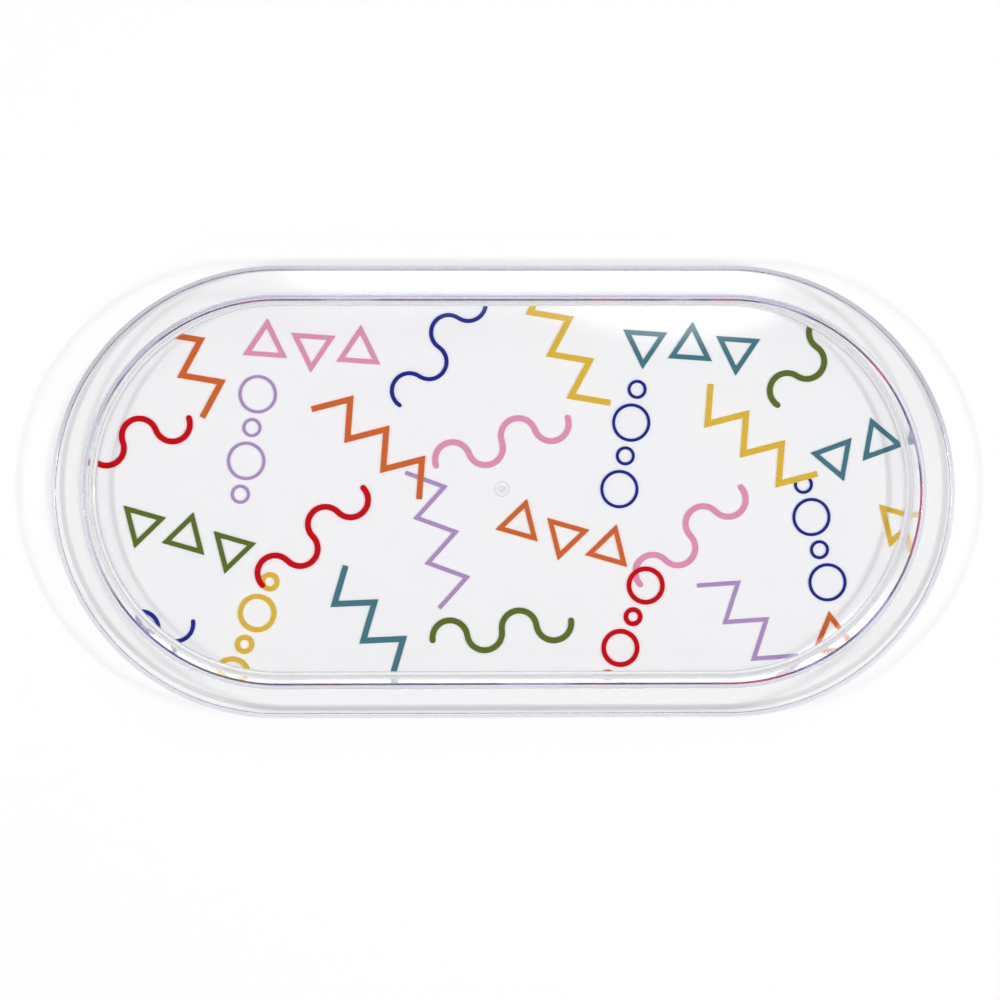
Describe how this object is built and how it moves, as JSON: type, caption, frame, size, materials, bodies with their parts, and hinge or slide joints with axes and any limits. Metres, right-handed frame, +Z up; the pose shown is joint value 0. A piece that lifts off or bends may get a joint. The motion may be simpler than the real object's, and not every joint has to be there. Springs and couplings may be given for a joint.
{
  "type": "oval tray",
  "caption": "Clear moulded stadium-shaped desk tray with a flat rim, a turned-down lip, a foot ring and a colour-printed film bonded under its floor.",
  "frame": {"origin": "middle of the footprint, on the surface that the foot ring stands on", "axes": "+X along the tray's length, +Y across it, +Z up out of the tray"},
  "size_m": [0.254, 0.127, 0.024],
  "materials": {
    "clear_acrylic": "clear, polished, a faint lilac tint in the edges",
    "clear_film": "clear film",
    "ink_pink": "screen ink",
    "ink_teal": "screen ink",
    "ink_lilac": "screen ink",
    "ink_blue": "screen ink",
    "ink_olive": "screen ink",
    "ink_orange": "screen ink",
    "ink_yellow": "screen ink",
    "ink_red": "screen ink"
  },
  "bodies": {
    "root": {"tray_body": "clear_acrylic", "print_film": "clear_film", "ink_pink": "ink_pink", "ink_teal": "ink_teal", "ink_lilac": "ink_lilac", "ink_blue": "ink_blue", "ink_olive": "ink_olive", "ink_orange": "ink_orange", "ink_yellow": "ink_yellow", "ink_red": "ink_red"}
  },
  "joints": []
}
